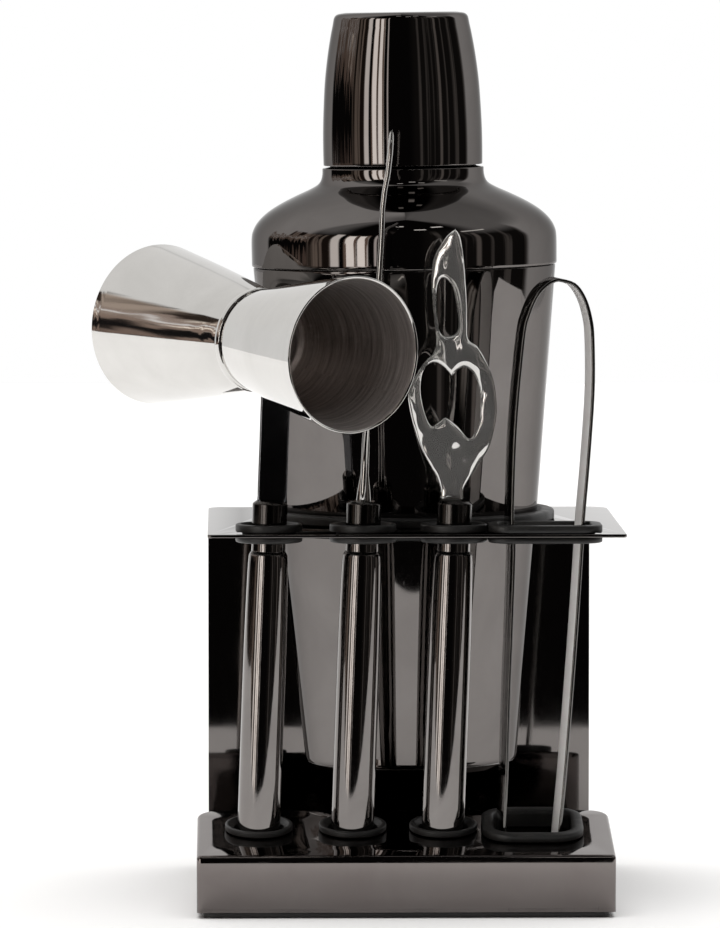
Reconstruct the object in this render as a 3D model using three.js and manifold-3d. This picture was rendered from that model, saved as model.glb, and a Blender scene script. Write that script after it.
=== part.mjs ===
// Cocktail shaker set on a sheet metal stand: a three piece cobbler shaker hangs in a rubber collar,
// and a double jigger, a bar knife, a bottle opener and a pair of ice tongs stand in front of it.
// Millimetres, +Z up. X runs left to right, -Y is the front. The origin is on the underside of the base pad.
import * as THREE from "three";
import { mergeVertices } from "three/addons/utils/BufferGeometryUtils.js";
import Module from "manifold-3d";

const wasm = await Module();
wasm.setup();

// ---------- driving dimensions ----------
const BASE_HALF = 60.2; // half width of the console
const BASE_FRONT = -57.5;
const RIDGE_Y = -11.5; // rear edge of the sloped console
const CONSOLE_FRONT_Z = 17.8;
const CONSOLE_REAR_Z = 25.8;
const SLOPE = Math.atan2(CONSOLE_REAR_Z - CONSOLE_FRONT_Z, RIDGE_Y - BASE_FRONT);
const SHEET = 1.0; // sheet thickness
const BACK_Y = 66.0; // front face of the back plate
const PAD = 1.2; // base pad thickness
const RACK_Z = 108.1; // underside of the rack plate
const RACK_X0 = -57.0,
  RACK_X1 = 64.0,
  RACK_Y0 = -42.0,
  RACK_Y1 = 67.6;
const BACK_X0 = -57.0,
  BACK_X1 = 58.8;
const TOOL_Y = -31.0; // row of the four tools
const LEAN = 0.0357; // the tools lean this much to the right, rad
const HOLE_RACK = [-39.2, -12.0, 14.3, 40.7]; // x of the holes in the rack
const HOLE_BASE = [-42.2, -15.0, 11.3, 37.2]; // x of the holes in the console
const GROMMET_HOLE = 8.0;
const SH_X = 2.4,
  SH_Y = 21.5; // shaker axis at rack height
const SH_TILT = -0.01405; // the shaker leans a little to the left
const COLLAR_HOLE = 40.6,
  COLLAR_R = 43.5;
const SEG_BIG = 28,
  SEG_MID = 16,
  SEG_SMALL = 12;
const GAP = 0.3;
// outer radius of the shaker body against height
const BODY = [
  [35.0, 28.9],
  [35.9, 30.6],
  [37.6, 31.4],
  [60.0, 33.5],
  [85.0, 35.9],
  [113.0, 38.6],
  [150.0, 41.8],
  [184.3, 44.8],
];

// ---------- helpers ----------
const V2 = (x, y) => new THREE.Vector2(x, y);
function volume(g) {
  const p = g.getAttribute("position"),
    ix = g.index;
  let v = 0;
  const n = ix ? ix.count : p.count;
  const a = new THREE.Vector3(),
    b = new THREE.Vector3(),
    c = new THREE.Vector3();
  for (let i = 0; i < n; i += 3) {
    a.fromBufferAttribute(p, ix ? ix.getX(i) : i);
    b.fromBufferAttribute(p, ix ? ix.getX(i + 1) : i + 1);
    c.fromBufferAttribute(p, ix ? ix.getX(i + 2) : i + 2);
    v += a.dot(b.cross(c)) / 6;
  }
  return v;
}
function clean(g) {
  const q = g.index ? g.toNonIndexed() : g.clone();
  q.deleteAttribute("normal");
  q.deleteAttribute("uv");
  const m = mergeVertices(q, 1e-4);
  const idx = m.index.array,
    out = [];
  for (let i = 0; i < idx.length; i += 3)
    if (idx[i] !== idx[i + 1] && idx[i + 1] !== idx[i + 2] && idx[i] !== idx[i + 2])
      out.push(idx[i], idx[i + 1], idx[i + 2]);
  m.setIndex(out);
  if (volume(m) < 0) {
    for (let i = 0; i < out.length; i += 3) [out[i + 1], out[i + 2]] = [out[i + 2], out[i + 1]];
    m.setIndex(out);
  }
  return m;
}
function solid(g) {
  const m = clean(g);
  return new wasm.Manifold(
    new wasm.Mesh({
      numProp: 3,
      vertProperties: new Float32Array(m.getAttribute("position").array),
      triVerts: new Uint32Array(m.index.array),
    }),
  );
}
function fromSolid(s) {
  const m = s.getMesh(),
    n = m.numProp,
    v = new Float32Array(m.numVert * 3);
  for (let i = 0; i < m.numVert; i++) v.set(m.vertProperties.subarray(i * n, i * n + 3), i * 3);
  return new THREE.BufferGeometry()
    .setAttribute("position", new THREE.BufferAttribute(v, 3))
    .setIndex(new THREE.BufferAttribute(new Uint32Array(m.triVerts), 1));
}
// a turned piece: pairs of radius and height, closed on themselves or on the axis
function turned(pairs, seg) {
  const g = new THREE.LatheGeometry(
    pairs.map(([r, z]) => V2(r, z)),
    seg,
  );
  return clean(g.rotateX(Math.PI / 2));
}
const ring = (pairs, seg) => turned([...pairs, pairs[0]], seg);
function circle(cx, cy, r, n) {
  const out = [];
  for (let i = 0; i < n; i++) out.push(V2(cx + r * Math.cos((2 * Math.PI * i) / n), cy + r * Math.sin((2 * Math.PI * i) / n)));
  return out;
}
// rounded rectangle, radii in the order (x0,y0) (x1,y0) (x1,y1) (x0,y1)
function rrect(x0, x1, y0, y1, radii, n = 4) {
  const c = [
    [x0, y0, 1, 1, 180],
    [x1, y0, -1, 1, 270],
    [x1, y1, -1, -1, 0],
    [x0, y1, 1, -1, 90],
  ];
  const out = [];
  c.forEach(([x, y, sx, sy, a0], k) => {
    const r = radii[k];
    if (r <= 0) return out.push(V2(x, y));
    for (let i = 0; i <= n; i++) {
      const a = ((a0 + (90 * i) / n) * Math.PI) / 180;
      out.push(V2(x + sx * r + r * Math.cos(a), y + sy * r + r * Math.sin(a)));
    }
  });
  return out;
}
function slab(outline, holes, z0, t) {
  const s = new THREE.Shape(outline);
  for (const h of holes) s.holes.push(new THREE.Path(h));
  const g = new THREE.ExtrudeGeometry(s, { depth: t, bevelEnabled: false, steps: 1 });
  return clean(g.translate(0, 0, z0));
}
// outline in (y, z), extruded along x from x0 to x1
function prismX(outline, x0, x1) {
  const g = new THREE.ExtrudeGeometry(new THREE.Shape(outline.map(([a, b]) => V2(a, b))), { depth: x1 - x0, bevelEnabled: false });
  g.applyMatrix4(new THREE.Matrix4().set(0, 0, 1, x0, 1, 0, 0, 0, 0, 1, 0, 0, 0, 0, 0, 1));
  return clean(g);
}
// outline in (x, z), extruded along y and centred on y = 0
function prismY(outline, holes, t) {
  const s = new THREE.Shape(outline.map(([a, b]) => V2(a, b)));
  for (const h of holes) s.holes.push(new THREE.Path(h.map(([a, b]) => V2(a, b))));
  const g = new THREE.ExtrudeGeometry(s, { depth: t, bevelEnabled: false });
  g.applyMatrix4(new THREE.Matrix4().set(1, 0, 0, 0, 0, 0, -1, t / 2, 0, 1, 0, 0, 0, 0, 0, 1));
  return clean(g);
}
const radiusAt = (z) => {
  for (let i = 1; i < BODY.length; i++)
    if (z <= BODY[i][0]) {
      const [z0, r0] = BODY[i - 1],
        [z1, r1] = BODY[i];
      return r0 + ((r1 - r0) * (z - z0)) / (z1 - z0);
    }
  return BODY[BODY.length - 1][1];
};

const metal = (c, rough) => new THREE.MeshStandardMaterial({ color: c, roughness: rough, metalness: 1 });
const rubber = () => new THREE.MeshStandardMaterial({ color: 0x101010, roughness: 0.6, metalness: 0 });
const GUN = 0x4a4745,
  STEEL = 0xc8c6c2;
const root = new THREE.Group();
function add(name, geometry, material, parent = root) {
  const m = new THREE.Mesh(geometry, material);
  m.name = name;
  parent.add(m);
  return m;
}
const group = (parent, x, y, z, rx = 0, ry = 0, rz = 0) => {
  const g = new THREE.Group();
  g.position.set(x, y, z);
  g.rotation.set(rx, ry, rz);
  parent.add(g);
  return g;
};

// ---------- stand ----------
const surfZ = (y) => CONSOLE_FRONT_Z + (y - BASE_FRONT) * Math.tan(SLOPE);
const TOP_Y = TOOL_Y,
  TOP_Z = surfZ(TOOL_Y);
{
  const plan = (d) =>
    slab(rrect(-BASE_HALF + d, BASE_HALF - d, BASE_FRONT + d, RIDGE_Y - d, [1 - d * 0.6, 1 - d * 0.6, 6 - d, 6 - d].map((r) => Math.max(r, 0.3)), 4), [], d > 0 ? -3 : PAD + GAP, 40);
  const side = (d) =>
    prismX(
      [
        [BASE_FRONT - 1 + 2 * d, d > 0 ? -4 : PAD + GAP],
        [RIDGE_Y + 1 - 2 * d, d > 0 ? -4 : PAD + GAP],
        [RIDGE_Y + 1 - 2 * d, surfZ(RIDGE_Y + 1 - 2 * d) - d],
        [BASE_FRONT + 0.7 + d * 0.5, surfZ(BASE_FRONT + 0.7 + d * 0.5) - d],
        [BASE_FRONT + d * 0.5, surfZ(BASE_FRONT) - 0.7 - d],
        [BASE_FRONT - 1 + 2 * d, surfZ(BASE_FRONT) - 0.7 - d],
      ],
      -80,
      80,
    );
  const outer = solid(plan(0)).intersect(solid(side(0)));
  const inner = solid(plan(SHEET)).intersect(solid(side(SHEET)));
  let shell = outer.subtract(inner);
  const tilt = new THREE.Matrix4().makeRotationX(SLOPE);
  for (let k = 0; k < 4; k++) {
    const cut = k < 3 ? slab(circle(0, 0, GROMMET_HOLE, SEG_MID), [], -8, 16) : slab(rrect(-12.7, 12.7, -12.7, 12.7, [7, 7, 7, 7], 4), [], -8, 16);
    cut.applyMatrix4(tilt).translate(HOLE_BASE[k], TOP_Y, TOP_Z);
    shell = shell.subtract(solid(cut));
  }
  // the foot of the back plate passes under the rear wall
  shell = shell.subtract(solid(slab(rrect(-62, 62, RIDGE_Y - 6.5, RIDGE_Y + 3, [0, 0, 0, 0]), [], -1, PAD + SHEET + 2 * GAP + 1)));
  add("console_shell", fromSolid(shell), metal(GUN, 0.08));
}
const POSTS = [-52.5, 54.3];
const POST_Y = -20;
POSTS.forEach((x, i) => {
  const side = i ? "right" : "left";
  const zTop = surfZ(POST_Y - 3.2) - SHEET / Math.cos(SLOPE) - GAP;
  add("console_standoff_" + side, ring([[1.75, 2.8], [3.2, 2.8], [3.2, zTop], [1.75, zTop]], SEG_SMALL).translate(x, POST_Y, 0), metal(0x8a8a88, 0.4));
  add(
    "console_screw_" + side,
    turned([[0, 0.35], [2.6, 0.35], [2.6, 1.2], [1.4, 1.2], [1.4, 12], [0, 12]], 12).translate(x, POST_Y, 0),
    metal(0x8a8a88, 0.35),
  );
});
{
  const holes = POSTS.map((x) => circle(x, POST_Y, 1.75, 12));
  const wide = POSTS.map((x) => circle(x, POST_Y, 3.0, 12));
  add("base_pad", slab(rrect(-58.6, 58.6, BASE_FRONT + 1.5, BACK_Y + 0.6, [3, 3, 4, 4], 3), wide, 0, PAD), rubber());
  // back plate: foot, upright and a short flange under the rack, folded from one sheet
  const z0 = PAD + GAP,
    y1 = BACK_Y + SHEET;
  const bent = prismX(
    [
      [BASE_FRONT + 2.2, z0],
      [y1 - 1.2, z0],
      [y1 - 0.35, z0 + 0.35],
      [y1, z0 + 1.2],
      [y1, RACK_Z - GAP - 0.9],
      [y1 - 0.3, RACK_Z - GAP - 0.25],
      [y1 - 0.9, RACK_Z - GAP],
      [y1 - 12, RACK_Z - GAP],
      [y1 - 12, RACK_Z - GAP - SHEET],
      [BACK_Y - 0.5, RACK_Z - GAP - SHEET],
      [BACK_Y, RACK_Z - GAP - SHEET - 0.5],
      [BACK_Y, z0 + SHEET + 0.5],
      [BACK_Y - 0.5, z0 + SHEET],
      [BASE_FRONT + 2.2, z0 + SHEET],
    ],
    BACK_X0,
    BACK_X1,
  );
  let s = solid(bent);
  for (const h of holes) s = s.subtract(solid(slab(h, [], -1, 6)));
  for (const x of [-34, 39]) s = s.subtract(solid(slab(circle(x, 60.2, 1.75, 12), [], 100, 12)));
  // the flange is relieved behind the shaker collar
  s = s.subtract(solid(slab(circle(SH_X, SH_Y, COLLAR_R + 0.8, SEG_BIG), [], 100, 8.0)));
  add("back_plate", fromSolid(s), metal(GUN, 0.05));
  add("tool_rest_pad", slab(rrect(-53, 53, TOOL_Y - 13, TOOL_Y + 6.5, [2, 2, 2, 2], 2), [], z0 + SHEET + GAP, 2.2), rubber());
}
{
  const holes = HOLE_RACK.slice(0, 3).map((x) => circle(x, TOOL_Y, GROMMET_HOLE, SEG_MID));
  holes.push(rrect(HOLE_RACK[3] - 14.6, HOLE_RACK[3] + 14.6, TOOL_Y - 8.6, TOOL_Y + 8.6, [4, 4, 4, 4], 4));
  holes.push(circle(SH_X, SH_Y, COLLAR_HOLE, SEG_BIG));
  for (const x of [-34, 39]) holes.push(circle(x, 60.2, 1.75, 12));
  add("rack_plate", slab(rrect(RACK_X0, RACK_X1, RACK_Y0, RACK_Y1, [1.2, 1.2, 7, 5], 4), holes, RACK_Z, SHEET), metal(GUN, 0.05));
  [-34, 39].forEach((x, i) => {
    const side = i ? "right" : "left",
      t = RACK_Z + SHEET + GAP,
      b = RACK_Z - GAP - SHEET - GAP;
    add("rack_screw_" + side, turned([[0, b - 3.2], [1.4, b - 3.2], [1.4, t], [2.8, t], [2.8, t + 0.7], [2.0, t + 1.4], [0, t + 1.4]], 12).translate(x, 60.2, 0), metal(GUN, 0.3));
    add("rack_nut_" + side, slab(circle(x, 60.2, 3.1, 6), [circle(x, 60.2, 1.75, 12)], b - 2.4, 2.4), metal(0x8a8a88, 0.4));
  });
}
// ---------- rubber grommets ----------
const TOOLS = ["jigger", "knife", "opener", "tongs"];
function roundGrommet(inner, flange, up, down) {
  const g = 0.25,
    c = 0.7;
  return ring(
    [
      [inner, -SHEET - g - down],
      [flange - c, -SHEET - g - down],
      [flange, -SHEET - g - down + c],
      [flange, -SHEET - g],
      [GROMMET_HOLE - g, -SHEET - g],
      [GROMMET_HOLE - g, g],
      [flange, g],
      [flange, g + up - c],
      [flange - c, g + up],
      [inner, g + up],
    ],
    SEG_MID,
  );
}
function oblongGrommet(ax, ay, r, bx, by, rb, up, down) {
  // ax, ay: half sizes of the opening; bx, by: half sizes of the sheet's hole
  const g = 0.25,
    o = 1.9,
    ox = bx + o,
    oy = by + o;
  const hole = (z0, t) => solid(slab(rrect(-ax, ax, -ay, ay, [r, r, r, r], 3), [], z0, t));
  const top = solid(slab(rrect(-ox, ox, -oy, oy, Array(4).fill(rb + o), 4), [], g, up));
  const mid = solid(slab(rrect(-bx + g, bx - g, -by + g, by - g, Array(4).fill(rb - g), 4), [], -SHEET - g - 0.01, SHEET + 2 * g + 0.02));
  const low = solid(slab(rrect(-ox, ox, -oy, oy, Array(4).fill(rb + o), 4), [], -SHEET - g - down, down));
  return fromSolid(top.add(mid).add(low).subtract(hole(-20, 40)));
}
TOOLS.forEach((tool, k) => {
  const rack = k < 3 ? roundGrommet(6.9, 9.7, 2.2, 1.7) : oblongGrommet(13.1, 7.2, 1.8, 14.6, 8.6, 4.0, 2.2, 1.7);
  add("rack_grommet_" + tool, rack, rubber(), group(root, HOLE_RACK[k], TOOL_Y, RACK_Z + SHEET));
  const base = k < 3 ? roundGrommet(7.2, 9.8, 1.7, 1.4) : oblongGrommet(11.1, 11.1, 5.4, 12.7, 12.7, 7, 2.4, 1.4);
  add("base_grommet_" + tool, base, rubber(), group(root, HOLE_BASE[k], TOP_Y, TOP_Z, SLOPE));
});
{
  const t = RACK_Z + SHEET + 0.25,
    b = RACK_Z - 0.25,
    c = 0.45;
  add(
    "shaker_collar",
    ring(
      [
        [radiusAt(b - 2.4) + c, b - 2.4],
        [42.6, b - 2.4],
        [42.6, b],
        [COLLAR_HOLE - 0.25, b],
        [COLLAR_HOLE - 0.25, t],
        [COLLAR_R, t],
        [COLLAR_R, t + 2.1],
        [COLLAR_R - 0.8, t + 2.85],
        [radiusAt(t + 2.85) + c + 0.5, t + 2.85],
        [radiusAt(t + 2.4) + c, t + 2.4],
      ],
      SEG_BIG,
    ).translate(SH_X, SH_Y, 0),
    rubber(),
  );
}
// ---------- shaker ----------
const shaker = group(root, SH_X - 109 * Math.sin(SH_TILT), SH_Y, 0, 0, SH_TILT);
const WALL = 0.8;
{
  const out = BODY.map(([z, r]) => [r, z]);
  const inn = BODY.slice(2)
    .map(([z, r]) => [r - WALL, z])
    .reverse();
  inn.push([29.2, 36.4], [0, 36.4]);
  add("shaker_body", turned([[0, 35.0], ...out, ...inn], SEG_BIG), metal(GUN, 0.05), shaker);
}
{
  const outer = [
    [42.9, 177.0],
    [43.4, 184.0],
    [43.4, 184.6],
    [45.2, 184.6],
    [45.2, 192.5],
    [44.7, 195.0],
    [43.2, 197.8],
    [40.2, 200.7],
    [36.8, 203.2],
    [32.4, 205.6],
    [27.2, 207.7],
    [24.5, 209.2],
    [23.9, 210.8],
    [23.9, 213.4],
    [21.6, 213.8],
    [21.4, 229.5],
    [19.6, 232.0],
    [0, 232.8],
  ];
  const innerP = [
    [0, 232.0],
    [19.2, 231.2],
    [20.5, 229.0],
    [20.7, 211.8],
    [23.2, 208.8],
    [31.9, 204.7],
    [39.5, 200.0],
    [43.6, 194.8],
    [44.2, 186.0],
    [42.3, 184.0],
    [42.1, 177.0],
    [42.9, 177.0],
  ];
  let s = solid(turned([...outer, ...innerP], SEG_BIG));
  const bore = (x, y) => (s = s.subtract(solid(slab(circle(x, y, 1.6, 6), [], 228, 8))));
  bore(0, 0);
  for (let i = 0; i < 6; i++) bore(7 * Math.cos((i * Math.PI) / 3), 7 * Math.sin((i * Math.PI) / 3));
  for (let i = 0; i < 10; i++) bore(13.5 * Math.cos(((i + 0.5) * Math.PI) / 5), 13.5 * Math.sin(((i + 0.5) * Math.PI) / 5));
  add("strainer_top", fromSolid(s), metal(GUN, 0.05), shaker);
}
add(
  "shaker_cap",
  turned(
    [
      [22.8, 214.1],
      [23.6, 214.1],
      [23.6, 224.0],
      [22.9, 238.0],
      [21.3, 249.0],
      [20.2, 256.0],
      [19.2, 258.3],
      [17.4, 259.2],
      [0, 259.3],
      [0, 258.4],
      [17.2, 258.3],
      [19.2, 255.8],
      [22.0, 238.0],
      [22.7, 224.0],
      [22.8, 214.1],
    ],
    SEG_BIG,
  ),
  metal(GUN, 0.05),
  shaker,
);
// ---------- tools ----------
const tool = TOOLS.map((_, k) => group(root, HOLE_BASE[k] - 24 * Math.sin(LEAN), TOOL_Y, 0, 0, LEAN));
const HANDLE = [
  [0, 5.9],
  [4.4, 5.9],
  [5.7, 6.9],
  [6.1, 8.6],
  [6.2, 40],
  [6.2, 72],
  [5.9, 94],
  [5.7, 101.2],
  [5.2, 103.0],
  [4.9, 103.6],
  [4.9, 107.4],
  [0, 107.4],
];
const FERRULE = [
  [0, 107.7],
  [4.7, 107.7],
  [5.1, 108.1],
  [5.1, 117.6],
  [4.6, 118.1],
  [0, 118.1],
];
["jigger", "knife", "opener"].forEach((n, k) => {
  add(n + "_handle", turned(HANDLE, SEG_MID), metal(GUN, 0.06), tool[k]);
  add(n + "_ferrule", turned(FERRULE, SEG_MID), metal(0x1c1b1b, 0.25), tool[k]);
});
// jigger: two cups back to back on a band, on a flat stem
{
  const axis = new THREE.Vector3(0.5585, -0.8282, -0.0485).normalize();
  const centre = new THREE.Vector3(-41.8, -31.0, 164.7);
  const tg = tool[0];
  tg.updateMatrixWorld(true);
  const jig = new THREE.Group();
  const q = new THREE.Quaternion().setFromUnitVectors(new THREE.Vector3(0, 0, 1), axis);
  const world = new THREE.Matrix4().compose(centre, q, new THREE.Vector3(1, 1, 1));
  const local = tg.matrixWorld.clone().invert().multiply(world);
  local.decompose(jig.position, jig.quaternion, jig.scale);
  tg.add(jig);
  const cup = (len, rim, floor) => [
    [0, 0.5],
    [floor, 0.5],
    [floor + (rim - floor) * 0.25, len * 0.25],
    [floor + (rim - floor) * 0.62, len * 0.62],
    [rim, len],
    [rim - 0.8, len],
    [floor + (rim - floor) * 0.62 - 0.85, len * 0.62],
    [floor + (rim - floor) * 0.25 - 0.9, len * 0.25],
    [floor - 0.6, 3.0],
    [floor - 2.2, 1.6],
    [0, 1.6],
  ];
  add("jigger_cup_small", turned(cup(47.4, 22.5, 14.4), SEG_BIG), metal(STEEL, 0.1), jig);
  add("jigger_cup_large", turned(cup(53.2, 23.6, 14.4).map(([r, z]) => [r, -z]), SEG_BIG), metal(STEEL, 0.06), jig);
  add("jigger_band", ring([[14.75, -1.4], [15.25, -1.4], [15.25, 1.4], [14.75, 1.4]], SEG_BIG), metal(STEEL, 0.1), jig);
  // flat strip from the ferrule to the underside of the cups
  add(
    "jigger_stem",
    prismY([[-4.25, 118.4], [4.25, 118.4], [4.25, 146.8], [3.2, 148.4], [-3.2, 148.4], [-4.25, 146.8]], [], 1.6).translate(0.5, 0, 0),
    metal(0x55524f, 0.12),
    tg,
  );
}
// bar knife, edge on to the front, with a forked tip
{
  const bend = [
    [118, -0.5],
    [150, 0.4],
    [182, 1.9],
    [203, 2.2],
    [213, 3.4],
    [226, 4.2],
  ];
  const bendAt = (z) => {
    for (let i = 1; i < bend.length; i++)
      if (z <= bend[i][0]) return bend[i - 1][1] + ((bend[i][1] - bend[i - 1][1]) * (z - bend[i - 1][0])) / (bend[i][0] - bend[i - 1][0]);
    return bend[bend.length - 1][1];
  };
  const outline = [
    [-3.4, 118.4],
    [3.4, 118.4],
    [3.4, 130],
    [4.6, 140],
    [6.2, 150],
    [6.6, 165],
    [6.6, 182],
    [6.4, 196],
    [5.8, 206],
    [5.6, 214],
    [6.0, 220],
    [6.6, 225.6],
    [4.4, 222.6],
    [2.4, 216.6],
    [0.2, 220.6],
    [-1.2, 225.6],
    [-4.4, 219],
    [-6.4, 206],
    [-7.0, 190],
    [-7.0, 165],
    [-6.6, 150],
    [-4.6, 140],
    [-3.4, 130],
  ];
  const g = prismX(outline, -0.8, 0.8);
  const p = g.getAttribute("position");
  for (let i = 0; i < p.count; i++) p.setX(i, p.getX(i) + bendAt(p.getZ(i)));
  add("knife_blade", g, metal(STEEL, 0.08), tool[1]);
}
// opener: a flat leaf with a pointed can piercer, a slot and a cap lifting window
{
  const outer = [
    [-2.76, 196.80], [-5.07, 194.68], [-7.07, 191.51], [-8.77, 187.83], [-9.11, 182.02], [-8.67, 176.79], [-7.90, 169.90], [-7.18, 165.17],
    [-7.58, 161.10], [-10.84, 157.24], [-13.10, 152.97], [-14.52, 148.79], [-14.11, 144.55], [-12.28, 138.21], [-9.43, 131.36], [-5.46, 124.50],
    [-4.24, 119.51], [2.32, 119.51], [3.09, 122.38], [6.02, 128.19], [9.49, 134.52], [11.03, 142.45], [10.90, 147.74], [9.82, 153.55],
    [7.54, 158.81], [4.78, 163.02], [2.06, 165.17], [1.63, 169.90], [1.29, 176.21], [0.67, 182.02], [0.25, 185.73], [-0.44, 190.47],
    [-1.38, 194.68],
  ];
  const slot = [
    [-5.71, 182.57], [-7.27, 180.85], [-7.50, 175.16], [-6.82, 169.90], [-5.92, 166.45], [-3.77, 165.66], [-1.42, 166.74], [-0.85, 169.35],
    [-1.48, 174.12], [-3.04, 180.27],
  ];
  const window_ = [
    [-2.32, 154.33], [-4.52, 156.69], [-6.92, 158.02], [-9.28, 157.24], [-10.75, 154.60], [-11.15, 150.36], [-10.43, 145.62], [-8.97, 141.38],
    [-7.60, 139.55], [-6.03, 140.33], [-3.72, 142.34], [-0.20, 139.81], [3.09, 136.38], [4.87, 137.57], [6.16, 141.38], [6.41, 146.67],
    [5.72, 151.43], [3.99, 155.12], [1.57, 156.95], [-0.52, 156.16],
  ];
  add("opener_head", prismY(outer, [slot, window_], 2.2), metal(STEEL, 0.08), tool[2]);
}
// tongs: one sprung strip, an arch with two arms
{
  const g = group(tool[3], 0, 0, 0, 0, 0, 0.14);
  const W = 11.4,
    T = 1.0;
  const ax = (z) => HOLE_BASE[3] + (z - 24) * Math.tan(LEAN);
  const strip = (pts) => {
    const L = [],
      R = [];
    pts.forEach((p, i) => {
      const a = pts[Math.max(0, i - 1)],
        b = pts[Math.min(pts.length - 1, i + 1)];
      const dx = b[0] - a[0],
        dz = b[1] - a[1],
        l = Math.hypot(dx, dz);
      L.push([p[0] - ((dz / l) * T) / 2, p[1] + ((dx / l) * T) / 2]);
      R.push([p[0] + ((dz / l) * T) / 2, p[1] - ((dx / l) * T) / 2]);
    });
    return prismY([...L, ...R.reverse()], [], W);
  };
  const loc = (p) => p.map(([x, z]) => [x - ax(z) - 0.87, z]); // the front edges of the turned strip stay on the listed x
  const left = [[29.4, 8.0], [28.9, 21.4], [30.2, 62], [31.7, 104.5], [31.1, 113.5], [32.0, 140], [34.2, 164.6]];
  const arch = [[34.3, 165.4], [35.9, 172.4], [38.6, 178.2], [42.2, 181.6], [45.6, 182.5], [49.2, 181.2], [52.2, 177.2], [54.0, 171.4], [54.6, 165.4]];
  const right = [[54.6, 164.6], [54.7, 150], [53.4, 130], [52.0, 113.5], [51.7, 104.5], [48.6, 62], [45.2, 21.4], [44.2, 8.0]];
  add("tongs_arm_left", strip(loc(left)), metal(0x8f8c88, 0.1), g);
  add("tongs_arch", strip(loc(arch)), metal(0x8f8c88, 0.1), g);
  add("tongs_arm_right", strip(loc(right)), metal(0x8f8c88, 0.1), g);
}

export default root;
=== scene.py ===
import math
import bpy
import bmesh
import numpy as np
from mathutils import Matrix, Vector
from mathutils.geometry import delaunay_2d_cdt


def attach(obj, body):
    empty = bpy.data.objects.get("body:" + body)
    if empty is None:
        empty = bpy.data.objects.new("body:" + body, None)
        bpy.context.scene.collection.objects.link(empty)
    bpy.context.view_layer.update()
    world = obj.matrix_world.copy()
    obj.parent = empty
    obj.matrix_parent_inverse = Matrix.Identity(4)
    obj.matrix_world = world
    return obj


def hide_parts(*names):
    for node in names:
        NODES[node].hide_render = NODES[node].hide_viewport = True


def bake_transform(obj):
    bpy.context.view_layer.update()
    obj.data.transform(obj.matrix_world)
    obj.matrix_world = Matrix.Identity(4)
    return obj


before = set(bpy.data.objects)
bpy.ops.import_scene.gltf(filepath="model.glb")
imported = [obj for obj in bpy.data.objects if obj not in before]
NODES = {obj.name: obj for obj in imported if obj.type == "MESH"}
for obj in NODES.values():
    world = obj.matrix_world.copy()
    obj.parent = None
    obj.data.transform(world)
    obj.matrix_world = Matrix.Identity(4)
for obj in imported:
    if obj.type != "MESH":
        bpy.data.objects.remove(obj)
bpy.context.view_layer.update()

MM = 0.001
scene = bpy.context.scene

# ---------------------------------------------------------------- materials


def new_mat(name):
    m = bpy.data.materials.new(name)
    m.use_nodes = True
    nt = m.node_tree
    nt.nodes.clear()
    out = nt.nodes.new("ShaderNodeOutputMaterial")
    p = nt.nodes.new("ShaderNodeBsdfPrincipled")
    nt.links.new(p.outputs[0], out.inputs[0])
    return m, nt, p


def coords(nt, kind, scale=(1, 1, 1)):
    tc = nt.nodes.new("ShaderNodeTexCoord")
    mp = nt.nodes.new("ShaderNodeMapping")
    mp.inputs["Scale"].default_value = scale
    nt.links.new(tc.outputs[kind], mp.inputs["Vector"])
    return mp.outputs[0]


def noise(nt, vec, scale, detail=4.0, rough=0.55, distort=0.0):
    n = nt.nodes.new("ShaderNodeTexNoise")
    n.inputs["Scale"].default_value = scale
    n.inputs["Detail"].default_value = detail
    n.inputs["Roughness"].default_value = rough
    n.inputs["Distortion"].default_value = distort
    nt.links.new(vec, n.inputs["Vector"])
    return n.outputs[0]


def remap(nt, val, a, b, c, d):
    r = nt.nodes.new("ShaderNodeMapRange")
    r.interpolation_type = "SMOOTHSTEP"
    for k, v in zip(("From Min", "From Max", "To Min", "To Max"), (a, b, c, d)):
        r.inputs[k].default_value = v
    nt.links.new(val, r.inputs["Value"])
    return r.outputs[0]


def math_(nt, op, a, b):
    n = nt.nodes.new("ShaderNodeMath")
    n.operation = op
    for i, v in enumerate((a, b)):
        if hasattr(v, "is_linked") or hasattr(v, "links"):
            nt.links.new(v, n.inputs[i])
        else:
            n.inputs[i].default_value = v
    return n.outputs[0]


def ramp(nt, val, c0, c1, p0=0.3, p1=0.7):
    r = nt.nodes.new("ShaderNodeValToRGB")
    r.color_ramp.elements[0].position = p0
    r.color_ramp.elements[1].position = p1
    r.color_ramp.elements[0].color = (*c0, 1)
    r.color_ramp.elements[1].color = (*c1, 1)
    nt.links.new(val, r.inputs[0])
    return r.outputs[0]


def bump(nt, height, strength, distance, normal=None):
    b = nt.nodes.new("ShaderNodeBump")
    b.inputs["Strength"].default_value = strength
    b.inputs["Distance"].default_value = distance
    nt.links.new(height, b.inputs["Height"])
    if normal is not None:
        nt.links.new(normal, b.inputs["Normal"])
    return b.outputs[0]


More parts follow.
